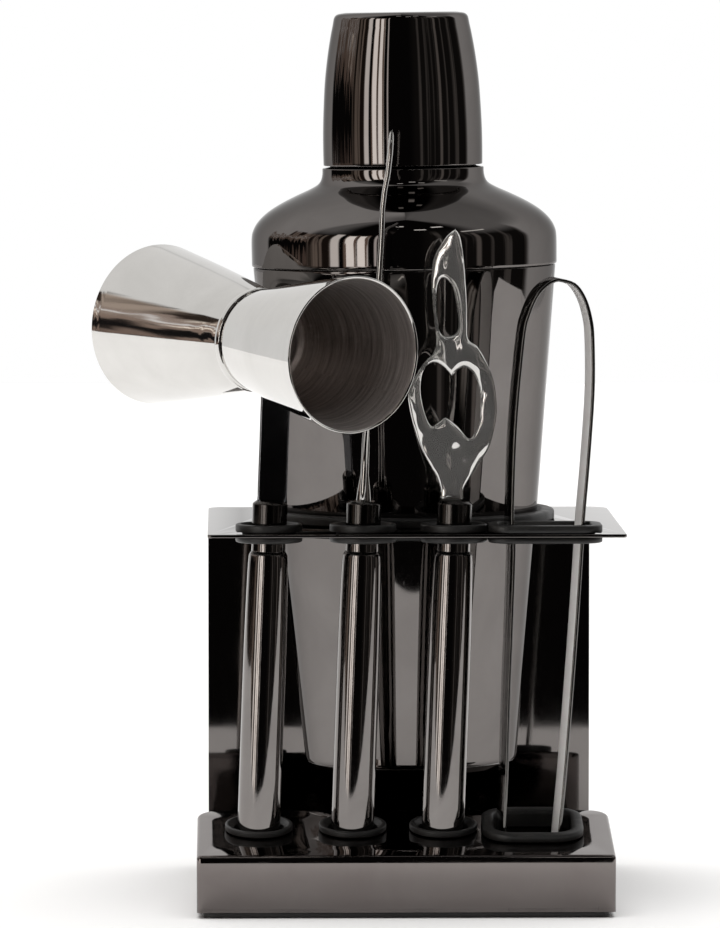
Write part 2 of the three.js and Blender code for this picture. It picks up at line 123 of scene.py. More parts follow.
def metal(name, c0, c1, r0, r1, wave=0.02, wave_scale=60, scratch=0.03, brushed=None, brush_r=(0.2, 0.4), fine=0.0, groove=0.3):
    """Polished or brushed metal: cloudy tint, smudged roughness, slow waviness and hairline scratches."""
    m, nt, p = new_mat(name)
    obj = coords(nt, "Object")
    smudge = noise(nt, obj, 38, 5, 0.62, 0.6)
    p.inputs["Metallic"].default_value = 1.0
    nt.links.new(ramp(nt, smudge, c0, c1), p.inputs["Base Color"])
    fine_n = noise(nt, obj, 900, 3, 0.6)
    rough = remap(nt, smudge, 0.35, 0.72, r0, r1)
    if brushed == "turned":  # lines run round the piece, UV v is the distance along the profile in mm
        uv = coords(nt, "UV", (0.35, 9.0, 1))
        lines = noise(nt, uv, 1.6, 3, 0.7)
        rough = remap(nt, lines, 0.3, 0.75, *brush_r)
        n = bump(nt, lines, 0.35, 0.00004)
        n = bump(nt, noise(nt, obj, wave_scale, 2), wave, 0.002, n)
    elif brushed == "along":  # lines run along the piece, UV u is the distance round it in mm
        uv = coords(nt, "UV", (6.0, 0.12, 1))
        lines = noise(nt, uv, 1.5, 3, 0.7)
        rough = remap(nt, lines, 0.3, 0.75, *brush_r)
        n = bump(nt, lines, groove, 0.00003)
        n = bump(nt, noise(nt, obj, wave_scale, 2), wave, 0.002, n)
    else:
        n = bump(nt, noise(nt, obj, wave_scale, 2, 0.5), wave, 0.002)
        hair = noise(nt, coords(nt, "Object", (260, 30, 22)), 7, 2, 0.6, 0.4)
        hair = remap(nt, hair, 0.68, 0.74, 0.0, 1.0)
        rough = math_(nt, "ADD", rough, math_(nt, "MULTIPLY", hair, scratch))
    if fine:
        n = bump(nt, fine_n, fine, 0.00005, n)
    nt.links.new(rough, p.inputs["Roughness"])
    nt.links.new(n, p.inputs["Normal"])
    return m


def rubber(name, c0=(0.010, 0.010, 0.010), c1=(0.022, 0.021, 0.020)):
    m, nt, p = new_mat(name)
    obj = coords(nt, "Object")
    big = noise(nt, obj, 55, 5, 0.65, 0.5)
    small = noise(nt, obj, 1600, 3, 0.7)
    nt.links.new(ramp(nt, big, c0, c1, 0.35, 0.75), p.inputs["Base Color"])
    nt.links.new(remap(nt, big, 0.3, 0.7, 0.34, 0.55), p.inputs["Roughness"])
    n = bump(nt, small, 0.25, 0.00008)
    nt.links.new(bump(nt, big, 0.15, 0.0004, n), p.inputs["Normal"])
    p.inputs["Specular IOR Level"].default_value = 0.45
    return m


GUN_A, GUN_B = (0.150, 0.139, 0.134), (0.178, 0.166, 0.160)
M_GUN = metal("gunmetal_mirror", GUN_A, GUN_B, 0.018, 0.045, wave=0.010, wave_scale=26, scratch=0.05)
M_GUN.node_tree.nodes["Principled BSDF"].inputs["Specular Tint"].default_value = (0.5, 0.5, 0.5, 1)
M_SHEET = metal("gunmetal_sheet", GUN_A, GUN_B, 0.02, 0.05, wave=0.012, wave_scale=22, scratch=0.05)
M_CONSOLE = metal("gunmetal_console", (0.172, 0.152, 0.146), (0.195, 0.176, 0.169), 0.035, 0.10, wave=0.02, wave_scale=30, scratch=0.08)
M_HANDLE = metal("gunmetal_handle", (0.17, 0.158, 0.152), (0.21, 0.197, 0.190), 0.03, 0.07, wave=0.012, wave_scale=60, brushed="along", brush_r=(0.02, 0.07), groove=0.07)
M_FERRULE = metal("black_ferrule", (0.045, 0.042, 0.040), (0.075, 0.07, 0.067), 0.10, 0.2, wave=0.03, wave_scale=120)
M_STEEL = metal("steel_mirror", (0.60, 0.59, 0.57), (0.68, 0.67, 0.65), 0.03, 0.07, wave=0.035, wave_scale=34, scratch=0.05)
M_BRUSH = metal("steel_brushed_inside", (0.50, 0.46, 0.44), (0.66, 0.61, 0.59), 0.2, 0.3, brushed="turned", brush_r=(0.26, 0.5))
M_TOOL = metal("steel_tool", (0.42, 0.41, 0.395), (0.52, 0.51, 0.49), 0.03, 0.08, wave=0.04, wave_scale=70, scratch=0.06)
M_LEAF = metal("steel_leaf", (0.62, 0.61, 0.59), (0.74, 0.73, 0.71), 0.04, 0.10, wave=0.42, wave_scale=75, scratch=0.06)
nt = M_LEAF.node_tree
nt.links.new(bump(nt, noise(nt, coords(nt, "Object", (1, 1, .6)), 95, 1.5, .45), 1.0, 0.0042), nt.nodes["Principled BSDF"].inputs["Normal"])
M_TONGS = metal("steel_tongs", (0.10, 0.097, 0.093), (0.15, 0.146, 0.14), 0.05, 0.12, wave=0.03, wave_scale=60, brushed="along", brush_r=(0.05, 0.16))
# painted reflection: one broad face of the gunmetal tongs is painted near-white and almost non-metallic, standing in
# for the polished face reflecting the white backdrop
M_TONGS_PAINTED_REFLECTION = metal("tongs_face_painted_reflection", (0.80, 0.79, 0.78), (0.88, 0.87, 0.86), 0.3, 0.4, wave=0.03, wave_scale=60, brushed="along", brush_r=(0.3, 0.45))
M_TONGS_PAINTED_REFLECTION.node_tree.nodes["Principled BSDF"].inputs["Metallic"].default_value = 0.05
M_BRUSH.node_tree.nodes["Principled BSDF"].inputs["Metallic"].default_value = 0.8
M_LEAF.node_tree.nodes["Principled BSDF"].inputs["Metallic"].default_value = 0.82
nt = M_BRUSH.node_tree  # broad turned rings inside the cups
rings = noise(nt, coords(nt, "UV", (0.03, 0.9, 1)), 1.0, 4, .6)
fine_rings = noise(nt, coords(nt, "UV", (0.22, 7.0, 1)), 1.0, 3, .7)
both = math_(nt, "ADD", math_(nt, "MULTIPLY", rings, .6), math_(nt, "MULTIPLY", fine_rings, .4))
nt.links.new(ramp(nt, both, (0.30, 0.265, 0.25), (0.72, 0.67, 0.64), .36, .66), nt.nodes["Principled BSDF"].inputs["Base Color"])
M_STEM = metal("steel_stem", (0.16, 0.165, 0.175), (0.22, 0.225, 0.235), 0.08, 0.18, wave=0.05, wave_scale=60)
M_PLAIN = metal("zinc_steel", (0.40, 0.40, 0.39), (0.52, 0.52, 0.50), 0.28, 0.42, wave=0.05, wave_scale=200)
M_RUBBER = rubber("black_rubber")
M_PAD = rubber("pad_rubber", (0.014, 0.014, 0.014), (0.03, 0.029, 0.028))

# ---------------------------------------------------------------- mesh helpers


def finish_mesh(name, bm, body, mats, nodes=(), angle=32.0):
    bmesh.ops.remove_doubles(bm, verts=bm.verts, dist=1e-7)
    bmesh.ops.recalc_face_normals(bm, faces=bm.faces)
    me = bpy.data.meshes.new(name)
    bm.to_mesh(me)
    bm.free()
    for p in me.polygons:
        p.use_smooth = True
    me.set_sharp_from_angle(angle=math.radians(angle))
    ob = bpy.data.objects.new(name, me)
    scene.collection.objects.link(ob)
    for m in mats if isinstance(mats, (list, tuple)) else [mats]:
        me.materials.append(m)
    if body:
        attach(ob, body)
    if nodes:
        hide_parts(*nodes)
    return ob


def fillet(pts, n=4):
    """pts: (r, z) or (r, z, radius). Rounds each corner that has a radius."""
    out = []
    L = len(pts)
    for i, p in enumerate(pts):
        rad = p[2] if len(p) > 2 else 0
        if rad <= 0 or i in (0, L - 1):
            out.append(Vector((p[0], p[1])))
            continue
        a = Vector(pts[i - 1][:2]); b = Vector(p[:2]); c = Vector(pts[i + 1][:2])
        u = (a - b).normalized(); v = (c - b).normalized()
        ang = u.angle(v)
        t = min(rad / math.tan(ang / 2), (a - b).length * 0.48, (c - b).length * 0.48)
        p0 = b + u * t; p1 = b + v * t
        for k in range(n + 1):
            s = k / n
            out.append((1 - s) ** 2 * p0 + 2 * s * (1 - s) * b + s * s * p1)
    return out


def lathe(name, prof, body, mats, mat4=None, nodes=(), seg=192, closed=False, n=4, angle=32.0, split=None):
    """Turned piece from (r, z[, fillet]) in mm. split: mat index by profile segment midpoint (function of r, z, i)."""
    pts = fillet(prof, n)
    if closed:
        pts = pts + [pts[0].copy()]
    bm = bmesh.new()
    uvl = bm.loops.layers.uv.new("UVMap")
    dist = [0.0]
    for a, b in zip(pts, pts[1:]):
        dist.append(dist[-1] + (b - a).length)
    rows = []
    for p in pts:
        if p.x < 1e-6:
            rows.append([bm.verts.new((0, 0, p.y))])
        else:
            rows.append([bm.verts.new((p.x * math.cos(2 * math.pi * k / seg), p.x * math.sin(2 * math.pi * k / seg), p.y)) for k in range(seg)])
    R = max(p.x for p in pts)
    for i in range(len(rows) - 1):
        a, b = rows[i], rows[i + 1]
        for k in range(seg):
            k2 = (k + 1) % seg
            if len(a) == 1 and len(b) == 1:
                continue
            if len(a) == 1:
                vs = [a[0], b[k2], b[k]]; uu = [(k + .5, i), (k + 1, i + 1), (k, i + 1)]
            elif len(b) == 1:
                vs = [a[k], a[k2], b[0]]; uu = [(k, i), (k + 1, i), (k + .5, i + 1)]
            else:
                vs = [a[k], a[k2], b[k2], b[k]]; uu = [(k, i), (k + 1, i), (k + 1, i + 1), (k, i + 1)]
            f = bm.faces.new(vs)
            for l, (uk, vi) in zip(f.loops, uu):
                l[uvl].uv = (uk / seg * 2 * math.pi * R, dist[vi])
            if split:
                m = (pts[i] + pts[i + 1]) / 2
                f.material_index = split(m.x, m.y, i)
    M = (mat4 or Matrix.Identity(4))
    bm.transform(M)
    bmesh.ops.scale(bm, vec=(MM, MM, MM), verts=bm.verts)
    return finish_mesh(name, bm, body, mats, nodes, angle)


def catmull(pts, step=0.6, closed=True, sharp=()):
    """Smooth closed outline through the points, at about step mm. sharp: indices kept as corners."""
    P = [Vector(p) for p in pts]
    N = len(P)
    out = []
    for i in range(N if closed else N - 1):
        p1, p2 = P[i], P[(i + 1) % N]
        p0 = P[(i - 1) % N] if (closed or i > 0) else p1
        p3 = P[(i + 2) % N] if (closed or i + 2 < N) else p2
        if i in sharp:
            p0 = p1 - (p2 - p1) * 0.5
        if (i + 1) % N in sharp:
            p3 = p2 + (p2 - p1) * 0.5
        n = max(1, int(round((p2 - p1).length / step)))
        for k in range(n):
            t = k / n
            out.append(0.5 * ((2 * p1) + (p2 - p0) * t + (2 * p0 - 5 * p1 + 4 * p2 - p3) * t * t + (3 * p1 - p0 - 3 * p2 + p3) * t ** 3))
    if not closed:
        out.append(P[-1])
    return out


def seg_dist(Q, loops):
    """Distance from each point of Q (n, 2) to the loops' segments."""
    best = np.full(len(Q), 1e9)
    for L in loops:
        A = np.array(L); B = np.roll(A, -1, axis=0)
        AB = B - A
        L2 = (AB ** 2).sum(1) + 1e-12
        for s in range(0, len(Q), 400):
            q = Q[s:s + 400]
            t = np.clip(((q[:, None, :] - A[None]) * AB[None]).sum(2) / L2, 0, 1)
            d = np.linalg.norm(q[:, None, :] - (A[None] + t[..., None] * AB[None]), axis=2).min(1)
            best[s:s + 400] = np.minimum(best[s:s + 400], d)
    return best


def inside(Q, loop):
    A = np.array(loop); B = np.roll(A, -1, axis=0)
    c = np.zeros(len(Q), bool)
    for (x1, y1), (x2, y2) in zip(A, B):
        hit = ((y1 > Q[:, 1]) != (y2 > Q[:, 1]))
        xs = (x2 - x1) * (Q[:, 1] - y1) / ((y2 - y1) if y2 != y1 else 1e-9) + x1
        c ^= hit & (Q[:, 0] < xs)
    return c


def pillow(name, outline, holes, half, edge, place, body, mats, nodes=(), grid=1.1, angle=50.0, dish=None):
    """A plate with rounded edges: front and back share the outline. place(u, v, w) gives mm in the frame."""
    loops = [[tuple(p) for p in outline]] + [[tuple(p) for p in h] for h in holes]
    pts = []; cons = []
    for L in loops:
        b = len(pts)
        pts += L
        cons += [(b + i, b + (i + 1) % len(L)) for i in range(len(L))]
    nb = len(pts)
    cand = []; want = []
    for fr in (0.12, 0.35, 0.68, 1.0):
        for L in loops:
            A = np.array(L)
            T = np.roll(A, -1, axis=0) - np.roll(A, 1, axis=0)
            T /= np.linalg.norm(T, axis=1)[:, None] + 1e-9
            for s in (1, -1):
                q = A + s * np.stack([-T[:, 1], T[:, 0]], 1) * edge * fr
                cand.append(q); want.append(np.full(len(q), edge * fr))
    A = np.array(loops[0])
    gx, gy = np.meshgrid(np.arange(A[:, 0].min(), A[:, 0].max(), grid), np.arange(A[:, 1].min(), A[:, 1].max(), grid))
    g = np.stack([gx.ravel(), gy.ravel()], 1)
    cand.append(g); want.append(np.full(len(g), -1.0))
    Q = np.concatenate(cand); W = np.concatenate(want)
    ok = inside(Q, loops[0])
    for h in loops[1:]:
        ok &= ~inside(Q, h)
    Q, W = Q[ok], W[ok]
    d = seg_dist(Q, loops)
    ok = np.where(W > 0, np.abs(d - W) < 0.06 * edge, d > edge * 1.25)
    Q = Q[ok]
    allp = pts + [tuple(q) for q in Q]
    vs, es, fs, ov, oe, of = delaunay_2d_cdt([Vector(p) for p in allp], cons, [], 0, 1e-6)
    V = np.array([tuple(v) for v in vs])
    cen = np.array([V[list(f)].mean(0) for f in fs])
    ok = inside(cen, loops[0])
    for h in loops[1:]:
        ok &= ~inside(cen, h)
    D = seg_dist(V, loops)
    D[D < 1e-4] = 0
    bm = bmesh.new()
    front, back = [], []
    uvl = bm.loops.layers.uv.new("UVMap")
    for (u, v), dd in zip(V, D):
        t = min(dd / edge, 1.0)
        h = half * math.sqrt(max(0.0, 1 - (1 - t) ** 2))
        off = dish(u, v) if dish else 0.0
        f = bm.verts.new(Vector(place(u, v, h + off)) * MM)
        front.append(f)
        back.append(f if dd == 0 else bm.verts.new(Vector(place(u, v, -h + off)) * MM))
    for f, k in zip(fs, ok):
        if not k or len(set(f)) < 3:
            continue
        for side, rev in ((front, False), (back, True)):
            vv = [side[i] for i in f]
            if rev:
                vv.reverse()
            try:
                nf = bm.faces.new(vv)
            except ValueError:
                continue
            for l, i in zip(nf.loops, (f if not rev else list(reversed(f)))):
                l[uvl].uv = (V[i][0], V[i][1])
    loose = [v for v in bm.verts if not v.link_faces]
    bmesh.ops.delete(bm, geom=loose, context="VERTS")
    return finish_mesh(name, bm, body, mats, nodes, angle)


def rrect(x0, x1, y0, y1, rr, n=10):
    out = []
    for (x, y, sx, sy, a0), r in zip(((x0, y0, 1, 1, 180), (x1, y0, -1, 1, 270), (x1, y1, -1, -1, 0), (x0, y1, 1, -1, 90)), rr):
        for i in range(n + 1):
            a = math.radians(a0 + 90 * i / n)
            out.append((x + sx * r + r * math.cos(a), y + sy * r + r * math.sin(a)))
    return out


def circ(cx, cy, r, n=96):
    return [(cx + r * math.cos(2 * math.pi * i / n), cy + r * math.sin(2 * math.pi * i / n)) for i in range(n)]


def cut_plate(outer, holes, thick, bev, res=2, fill="BOTH"):
    """2D filled curve with holes, extruded and bevelled, as a bmesh centred on z = 0 (mm)."""
    cu = bpy.data.curves.new("tmp", "CURVE")
    cu.dimensions = "2D"
    cu.fill_mode = fill
    for L in [outer] + list(holes):
        s = cu.splines.new("POLY")
        s.points.add(len(L) - 1)
        for p, (x, y) in zip(s.points, L):
            p.co = (x, y, 0, 1)
        s.use_cyclic_u = True
    cu.extrude = thick / 2 - bev
    cu.bevel_depth = bev
    cu.bevel_resolution = res
    cu.offset = -bev
    ob = bpy.data.objects.new("tmp", cu)
    scene.collection.objects.link(ob)
    dg = bpy.context.evaluated_depsgraph_get()
    me = bpy.data.meshes.new_from_object(ob.evaluated_get(dg))
    bm = bmesh.new()
    bm.from_mesh(me)
    bpy.data.objects.remove(ob)
    bpy.data.curves.remove(cu)
    bpy.data.meshes.remove(me)
    for f in bm.faces:
        f.material_index = 0
    bmesh.ops.remove_doubles(bm, verts=bm.verts, dist=1e-4)
    return bm


def place_bm(bm, M):
    bm.transform(M)
    bmesh.ops.scale(bm, vec=(MM, MM, MM), verts=bm.verts)

# ---------------------------------------------------------------- stand

SLOPE = math.atan2(8.0, 46.0)


def surf(y):
    return 17.8 + (y + 57.5) * math.tan(SLOPE)


HB = [-42.2, -15.0, 11.3, 37.2]
HR = [-39.2, -12.0, 14.3, 40.7]
TY = -31.0
LEAN = 0.0357
RACK_TOP = 109.1
TOOLS = ["jigger", "knife", "opener", "tongs"]

# console shell: one bent sheet, open underneath, with four holes
holes = [circ(x, TY, 8.2, 96) for x in HB[:3]] + [rrect(HB[3] - 12.9, HB[3] + 12.9, TY - 12.7, TY + 12.7, [7] * 4, 8)]
bm = cut_plate(rrect(-60.2, 60.2, -57.5, -11.5, [1.4, 1.4, 6, 6], 8), holes, 30.0, 1.1, 4, "FRONT")
top = 15.0
kill = []
for v in bm.verts:
    x, y, z = v.co
    near = any(math.hypot(x - h, y - TY) < 8.2 + 1.3 for h in HB[:3]) or (abs(x - HB[3]) < 14.2 and abs(y - TY) < 14.1)
    if near and z < top - 0.75:
        kill.append(v)
bmesh.ops.delete(bm, geom=kill, context="VERTS")
bmesh.ops.delete(bm, geom=[f for f in bm.faces if f.normal.z < -0.5 or abs(f.calc_center_median().z + 15) < 0.3], context="FACES")
for v in list(bm.verts):
    if v.co.z < 0:
        if v.co.z > -14.5 or True:
            v.co.z = 1.55
    else:
        v.co.z = surf(v.co.y) - (top - v.co.z)
place_bm(bm, Matrix.Identity(4))
loose = [v for v in bm.verts if not v.link_faces]
bmesh.ops.delete(bm, geom=loose, context="VERTS")
console = finish_mesh("console_cover", bm, "stand", M_CONSOLE, ["console_shell"], 28)
mod = console.modifiers.new("sheet", "SOLIDIFY")
mod.thickness = 0.0009
mod.offset = -1
mod.use_rim = True

# rack plate
rh = [circ(x, TY, 8.0, 96) for x in HR[:3]] + [rrect(HR[3] - 14.6, HR[3] + 14.6, TY - 8.6, TY + 8.6, [4] * 4, 8), circ(2.4, 21.5, 40.6, 192)]
rh += [circ(x, 60.2, 1.75, 32) for x in (-34, 39)]
bm = cut_plate(rrect(-57, 64, -42, 67.6, [1.2, 1.2, 7, 5], 10), rh, 1.0, 0.28, 2)
place_bm(bm, Matrix.Translation((0, 0, 108.6)))
finish_mesh("rack_sheet", bm, "stand", M_SHEET, ["rack_plate"], 40)


def grommet(name, inner, flange, up, down, M, node):
    g = 0.2
    prof = [
        (inner + 0.25, -1 - g - down, 0), (flange, -1 - g - down, 0.75), (flange, -1 - g, 0.35), (7.75, -1 - g, 0.2), (7.75, g, 0.2),
        (flange, g, 0.35), (flange, g + up, 0.95), (inner + 1.5, g + up, 0.9), (inner, g + up - 1.3, 0.5), (inner, -0.5, 0.4), (inner, -1 - g - down + 0.3, 0.2), (inner + 0.25, -1 - g - down, 0),
    ]
    return lathe(name, prof, "stand", M_RUBBER, M, [node], 128, n=5, angle=60)


def oblong(name, ax, ay, r, bx, by, rb, up, down, M, node, rim=1.9):
    """Rubber ring of rounded rectangle plan: sections swept round the plan."""
    g = 0.2
    sec = fillet([(0, -1 - g - down, 0), (1, -1 - g - down, .5), (1, -1 - g, .3), (.55, -1 - g, .15), (.55, g, .15), (1, g, .3), (1, g + up, 1.0), (.12, g + up, .8), (0, g + up - 1.4, .5), (0, -1 - g - down, 0)], 4)
    ins = rrect(-ax, ax, -ay, ay, [r] * 4, 12)
    outs = rrect(-bx - rim, bx + rim, -by - rim, by + rim, [rb + rim] * 4, 12)
    mids = rrect(-bx + .25, bx - .25, -by + .25, by - .25, [rb - .25] * 4, 12)
    bm = bmesh.new()
    rows = []
    for (s, z) in [(p.x, p.y) for p in sec[:-1]]:
        row = []
        for (a, m, o) in zip(ins, mids, outs):
            a, m, o = Vector(a), Vector(m), Vector(o)
            q = a.lerp(m, s / .55) if s < .55 else m.lerp(o, (s - .55) / .45)
            row.append(bm.verts.new((q.x, q.y, z)))
        rows.append(row)
    for i in range(len(rows)):
        a, b = rows[i], rows[(i + 1) % len(rows)]
        for k in range(len(ins)):
            k2 = (k + 1) % len(ins)
            bm.faces.new((a[k], a[k2], b[k2], b[k]))
    place_bm(bm, M)
    return finish_mesh(name, bm, "stand", M_RUBBER, [node], 60)


for k, t in enumerate(TOOLS):
    Mr = Matrix.Translation((HR[k], TY, RACK_TOP))
    Mb = Matrix.Translation((HB[k], TY, surf(TY))) @ Matrix.Rotation(SLOPE, 4, "X")
    if k < 3:
        grommet("rubber_rack_" + t, 6.9, 9.7, 2.25, 1.7, Mr, "rack_grommet_" + t)
        grommet("rubber_base_" + t, 7.2, 9.8, 1.75, 1.4, Mb, "base_grommet_" + t)
    else:
        oblong("rubber_rack_" + t, 13.1, 7.2, 1.8, 14.6, 8.6, 4.0, 2.25, 1.7, Mr, "rack_grommet_" + t)
        oblong("rubber_base_" + t, 11.1, 11.1, 5.4, 12.7, 12.7, 7, 2.4, 1.4, Mb, "base_grommet_" + t)

# ---------------------------------------------------------------- shaker
BODY = [(35.0, 28.9), (35.9, 30.6), (37.6, 31.4), (60, 33.5), (85, 35.9), (113, 38.6), (150, 41.8), (184.3, 44.8)]


def rad(z):
    for (z0, r0), (z1, r1) in zip(BODY, BODY[1:]):
        if z <= z1:
            return r0 + (r1 - r0) * (z - z0) / (z1 - z0)
    return BODY[-1][1]


lathe("rubber_collar", [
    (rad(105.5) + .4, 105.5, 0), (42.6, 105.5, .8), (42.6, 107.9, .3), (40.4, 107.9, .2), (40.4, 109.3, .2), (43.5, 109.3, .35), (43.5, 112.15, 1.1),
    (rad(112) + 1.6, 112.15, .8), (rad(111) + .4, 111.0, .4), (rad(105.5) + .4, 105.5, 0)], "stand", M_RUBBER, Matrix.Translation((2.4, 21.5, 0)), ["shaker_collar"], 224, n=5, angle=60)

TILT = -0.01405
SHM = Matrix.Translation((2.4 - 109 * math.sin(TILT), 21.5, 0)) @ Matrix.Rotation(TILT, 4, "Y")
body = [(0, 36.6), (12, 36.5), (25.5, 35.1, 3), (28.4, 35.0, 2.2), (31.3, 37.6, 3.2)]
zs = np.linspace(42, 183.3, 26)
sm = np.interp(zs, [37.6, 60, 85, 113, 150, 184.3], [31.4, 33.5, 35.9, 38.6, 41.8, 44.8])
body += [(float(r), float(z)) for r, z in zip(sm, zs)]
body += [(44.75, 184.2, .25), (44.05, 184.2, .25)]
body += [(float(r) - 0.8, float(z)) for r, z in list(zip(sm, zs))[::-1]]
body += [(30.4, 38.4, 3), (27, 37.5, 2), (0, 37.5)]
M_IN = metal("steel_satin_inside", (0.42, 0.41, 0.40), (0.52, 0.51, 0.50), 0.2, 0.35, brushed="turned", brush_r=(0.2, 0.38))
nb = len(zs)
lathe("shaker_tin", body, "shaker", [M_GUN, M_IN], SHM, ["shaker_body"], 256, n=8, angle=40,
      split=lambda r, z, i: 1 if (z > 37.3 and r < float(np.interp(z, [37.6, 60, 85, 113, 150, 184.3], [31.4, 33.5, 35.9, 38.6, 41.8, 44.8])) - 0.5) else 0)

dome = catmull([(45.2, 186.0), (45.2, 192.6), (44.6, 195.4), (43.0, 198.0), (40.2, 200.6), (36.4, 203.0), (31.8, 205.3), (27.4, 207.3), (25.0, 208.8), (24.1, 210.6), (23.9, 212.2)], 0.8, closed=False)
domi = catmull([(44.3, 186.6), (44.3, 192.6), (43.7, 195.2), (42.1, 197.5), (39.5, 199.9), (35.7, 202.3), (31.2, 204.5), (26.8, 206.5), (24.0, 208.4), (21.6, 210.6), (20.7, 213)], 0.8, closed=False)
top = [(42.2, 177.2, .2), (42.9, 177.2, .2), (43.4, 184.5, 0), (45.1, 184.5, .3), (45.2, 185.2, 0)]
top += [(p.x, p.y) for p in dome]
top += [(23.9, 213.3, .35), (21.6, 213.7, .3), (21.4, 229.0, 1.2), (19.4, 232.0, 1.2), (0, 232.7), (0, 231.9), (19.0, 231.2, 1.0), (20.6, 228.8, 1.0)]
top += [(p.x, p.y) for p in domi[::-1]]
top += [(43.9, 185.3, .4), (42.3, 184.2, .4), (42.2, 177.2, 0)]
st = lathe("strainer_dome", top, "strainer", [M_GUN, M_IN], SHM, ["strainer_top"], 256, n=5, angle=40,
           split=lambda r, z, i: 1 if (z < 231.6 and r < 20.75 + 1e-3 and z > 209) or (z < 213 and z > 184.9 and r < float(np.interp(z, [184.9, 192.6, 197.8, 203.2, 207.5, 213], [44.6, 44.6, 42.6, 35.2, 25.5, 22.0]))) or (r < 42.6 and z < 184.4 and z > 177.3 and r < 42.5) else 0)
# pouring holes
cut = bmesh.new()
spots = [(0, 0)] + [(7 * math.cos(i * math.pi / 3), 7 * math.sin(i * math.pi / 3)) for i in range(6)] + [(13.5 * math.cos((i + .5) * math.pi / 5), 13.5 * math.sin((i + .5) * math.pi / 5)) for i in range(10)]
for x, y in spots:
    bmesh.ops.create_cone(cut, cap_ends=True, segments=24, radius1=1.6, radius2=1.6, depth=8, matrix=Matrix.Translation((x, y, 231.5)))
place_bm(cut, SHM)
cme = bpy.data.meshes.new("cutter"); cut.to_mesh(cme); cut.free()
cob = bpy.data.objects.new("cutter", cme); scene.collection.objects.link(cob)
bo = st.modifiers.new("holes", "BOOLEAN"); bo.operation = "DIFFERENCE"; bo.object = cob; bo.solver = "EXACT"
dg = bpy.context.evaluated_depsgraph_get()
nm = bpy.data.meshes.new_from_object(st.evaluated_get(dg))
st.modifiers.clear(); st.data = nm; nm.name = "strainer_dome"
bpy.data.objects.remove(cob); bpy.data.meshes.remove(cme)
nm.set_sharp_from_angle(angle=math.radians(40))

capo = catmull([(23.55, 214.6), (23.6, 219), (23.55, 224.5), (23.3, 231), (22.8, 239), (21.9, 246.5), (20.9, 252.5), (20.3, 255.4)], 1.0, closed=False)
cap = [(22.9, 214.6, .2), (23.1, 214.1, .2), (23.5, 214.1, .25)] + [(p.x, p.y) for p in capo] + [(19.7, 258.7, 2.6), (16.5, 259.17, 2.0), (8, 259.22), (0, 259.22), (0, 258.5), (16.4, 258.45, 1.8), (18.8, 257.6, 2.0)]
cap += [(p.x - .85, p.y) for p in capo[::-1]] + [(22.75, 214.6, 0), (22.9, 214.6, 0)]
lathe("cap_shell", cap, "cap", [M_GUN, M_IN], SHM, ["shaker_cap"], 224, n=8, angle=40,
      split=lambda r, z, i: 1 if (z > 214.5 and z < 258.55 and r < float(np.interp(z, [214, 224.5, 231, 239, 246.5, 252.5, 255.4, 258.6], [23.6, 23.55, 23.3, 22.8, 21.9, 20.9, 20.3, 18.6])) - 0.5) else 0)

# ---------------------------------------------------------------- tools
TM = [Matrix.Translation((HB[k] - 24 * math.sin(LEAN), TY, 0)) @ Matrix.Rotation(LEAN, 4, "Y") for k in range(4)]
for k, t in enumerate(TOOLS[:3]):
    hp = catmull([(6.08, 9.0), (6.18, 25), (6.2, 45), (6.2, 70), (6.08, 85), (5.92, 95), (5.78, 100.2)], 2.0, closed=False)
    prof = [(0, 5.9), (4.4, 5.9, 1.2), (6.05, 7.6, 1.4)] + [(p.x, p.y) for p in hp] + [(5.6, 102.6, 1.6), (4.95, 103.6, .5), (4.9, 107.4, .3), (0, 107.4)]
    lathe("grip_" + t, prof, t, M_HANDLE, TM[k], [t + "_handle"], 128, n=6, angle=45)
    prof = [(0, 107.6), (4.8, 107.6, .2), (5.1, 108.0, .2), (5.1, 117.4, .7), (4.2, 118.15, .3), (0, 118.2)]
    lathe("neck_" + t, prof, t, M_FERRULE, TM[k], [t + "_ferrule"], 96, n=5, angle=45)

axis = Vector((0.5585, -0.8282, -0.0485)).normalized()
JM = Matrix.Translation((-41.8, -31.0, 164.7)) @ Vector((0, 0, 1)).rotation_difference(axis).to_matrix().to_4x4()


def cup(name, length, rim, floor, sgn, node):
    zz = np.linspace(0.16, 0.985, 16)
    ro = [floor + (rim - floor) * (t + 0.035 * math.sin(math.pi * t)) for t in zz]
    prof = [(0, 0.45), (floor - 1.0, 0.45, .6), (floor + .2, 1.2, .8)]
    prof += [(r, length * t) for r, t in zip(ro, zz)]
    prof += [(rim + .02, length - .25, .15), (rim - .3, length, .25), (rim - .75, length - .3, .2)]
    prof += [(r - .8, length * t) for r, t in list(zip(ro, zz))[::-1]]
    prof += [(floor - .9, 3.2, 1.5), (floor - 2.4, 1.7, 1.4), (0, 1.6)]
    if sgn < 0:
        prof = [(p[0], -p[1], *p[2:]) for p in prof]
    rof = lambda z: float(np.interp(abs(z), [1.2] + [length * t for t in zz], [floor + .2] + ro)) - .45
    return lathe(name, prof, "jigger", [M_STEEL, M_BRUSH], JM, [node], 224, n=6, angle=38,
                 split=lambda r, z, i: 1 if (abs(z) > 1.45 and r < rof(z) and abs(z) < length - .35) else 0)


cup("measure_small", 47.4, 22.5, 14.4, 1, "jigger_cup_small")
cup("measure_large", 53.2, 23.6, 14.4, -1, "jigger_cup_large")
lathe("measure_band", [(14.5, -1.3, 0), (15.1, -1.1, .4), (15.25, 0, .3), (15.1, 1.1, .4), (14.5, 1.3, 0), (14.3, 0, 0), (14.5, -1.3, 0)], "jigger", M_STEEL, JM, ["jigger_band"], 192, n=4, angle=60)


def local(M, f):
    return lambda u, v, w: M @ Vector(f(u, v, w))


